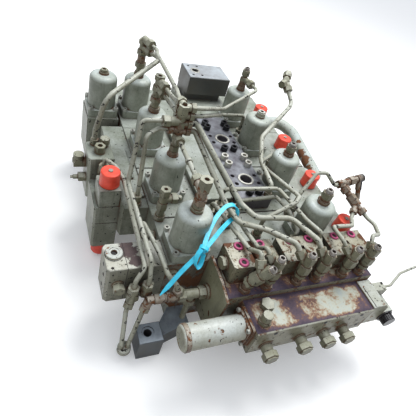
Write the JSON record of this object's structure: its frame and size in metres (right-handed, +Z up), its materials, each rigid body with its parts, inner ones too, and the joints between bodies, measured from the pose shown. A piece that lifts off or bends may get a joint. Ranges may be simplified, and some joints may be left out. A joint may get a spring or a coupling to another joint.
{
  "type": "hydraulic valve block",
  "caption": "Sectional hydraulic valve block with domed spring caps, a ported deck plate, pilot units on a front block, bent steel pipes and screwed fittings.",
  "frame": {"origin": "on the base plane, straight under the axis of the front deck port", "axes": "+Z up along the spring caps, +X to the right along the front block, +Y from the front block to the rear port block"},
  "size_m": [0.9906, 1.127, 0.5589],
  "materials": {
    "bare_deck": "machined face with a thin film of rust",
    "black_plastic": "moulded",
    "dark_steel": "phosphated steel",
    "fitting_steel": "painted forged fittings with rust at the joints",
    "ground_steel": "ground",
    "orange_plastic": "moulded",
    "painted_pipe": "chipped satin paint over steel tube",
    "painted_steel": "worn satin paint over cast iron",
    "pink_plastic": "moulded",
    "screw_steel": "black oxide screws",
    "spring_steel": "oiled spring wire"
  },
  "bodies": {
    "root": {"bracket_plate": "painted_steel", "cap_fittings": "fitting_steel", "cap_flange_screws": "screw_steel", "centre_pipes": "painted_pipe", "centring_springs": "spring_steel", "cover_plates": "painted_steel", "deck_plate": "bare_deck", "deck_port_rings": "ground_steel", "deck_screws": "screw_steel", "front_block": "painted_steel", "front_end_plates": "painted_steel", "front_plugs": "fitting_steel", "front_section": "painted_steel", "front_spring": "spring_steel", "gauge_line": "painted_pipe", "left_cap_block": "painted_steel", "left_front_block": "painted_steel", "left_manifold": "painted_steel", "left_pipes": "painted_pipe", "left_valve_block": "painted_steel", "lower_port_block": "dark_steel", "outer_housing": "painted_steel", "pilot_casting": "painted_steel", "pilot_elbows": "fitting_steel", "pilot_port_rings": "pink_plastic", "pilot_units": "painted_steel", "pipe_fittings": "fitting_steel", "port_caps": "orange_plastic", "port_stubs": "ground_steel", "rear_foot_plate": "painted_steel", "rear_port_block": "dark_steel", "rear_section": "painted_steel", "return_tube": "painted_pipe", "right_cover": "painted_steel", "right_pipes": "painted_pipe", "second_section": "painted_steel", "spring_cap_l1": "painted_steel", "spring_cap_l2": "painted_steel", "spring_cap_l3": "painted_steel", "spring_cap_l4": "painted_steel", "spring_cap_l5": "painted_steel", "spring_cap_r1": "painted_steel", "spring_cap_r2": "painted_steel", "spring_cap_r3": "painted_steel", "spring_cap_r4": "painted_steel", "spring_cylinder": "painted_steel", "tee_line": "fitting_steel", "third_section": "painted_steel", "tie_rods": "dark_steel"},
    "spool_l1": {"spool_l1": "ground_steel"},
    "spool_l2": {"spool_l2": "ground_steel"},
    "spool_l3": {"spool_l3": "ground_steel"},
    "spool_l4": {"spool_l4": "ground_steel"},
    "spool_l5": {"spool_l5": "ground_steel"},
    "spool_r1": {"spool_r1": "ground_steel"},
    "spool_r2": {"spool_r2": "ground_steel"},
    "spool_r3": {"spool_r3": "ground_steel"},
    "spool_r4": {"spool_r4": "ground_steel"},
    "front_spool": {"front_spool": "ground_steel"},
    "knurled_knob": {"knurled_knob": "black_plastic"}
  },
  "joints": [
    {"name": "spool_l1_slide", "type": "slide", "parent": "root", "child": "spool_l1", "axis": [0, 0, 1], "range_m": [-0.012, 0.012], "stiffness_N_per_m": 30000, "deforming": ["centring_springs"]},
    {"name": "spool_l2_slide", "type": "slide", "parent": "root", "child": "spool_l2", "axis": [0, 0, 1], "range_m": [-0.012, 0.012], "stiffness_N_per_m": 30000, "deforming": ["centring_springs"]},
    {"name": "spool_l3_slide", "type": "slide", "parent": "root", "child": "spool_l3", "axis": [0, 0, 1], "range_m": [-0.012, 0.012], "stiffness_N_per_m": 30000, "deforming": ["centring_springs"]},
    {"name": "spool_l4_slide", "type": "slide", "parent": "root", "child": "spool_l4", "axis": [0, 0, 1], "range_m": [-0.012, 0.012], "stiffness_N_per_m": 30000, "deforming": ["centring_springs"]},
    {"name": "spool_l5_slide", "type": "slide", "parent": "root", "child": "spool_l5", "axis": [0, 0, 1], "range_m": [-0.012, 0.012], "stiffness_N_per_m": 30000, "deforming": ["centring_springs"]},
    {"name": "spool_r1_slide", "type": "slide", "parent": "root", "child": "spool_r1", "axis": [0, 0, 1], "range_m": [-0.012, 0.012], "stiffness_N_per_m": 30000, "deforming": ["centring_springs"]},
    {"name": "spool_r2_slide", "type": "slide", "parent": "root", "child": "spool_r2", "axis": [0, 0, 1], "range_m": [-0.012, 0.012], "stiffness_N_per_m": 30000, "deforming": ["centring_springs"]},
    {"name": "spool_r3_slide", "type": "slide", "parent": "root", "child": "spool_r3", "axis": [0, 0, 1], "range_m": [-0.012, 0.012], "stiffness_N_per_m": 30000, "deforming": ["centring_springs"]},
    {"name": "spool_r4_slide", "type": "slide", "parent": "root", "child": "spool_r4", "axis": [0, 0, 1], "range_m": [-0.012, 0.012], "stiffness_N_per_m": 30000, "deforming": ["centring_springs"]},
    {"name": "front_spool_slide", "type": "slide", "parent": "root", "child": "front_spool", "axis": [1, 0, 0], "range_m": [-0.008, 0.008], "stiffness_N_per_m": 20000, "deforming": ["front_spring"]},
    {"name": "knob_turn", "type": "hinge", "parent": "root", "child": "knurled_knob", "pos_m": [0.297, -0.473, 0.182], "axis": [0, -1, 0], "range_deg": [-135, 135]}
  ]
}
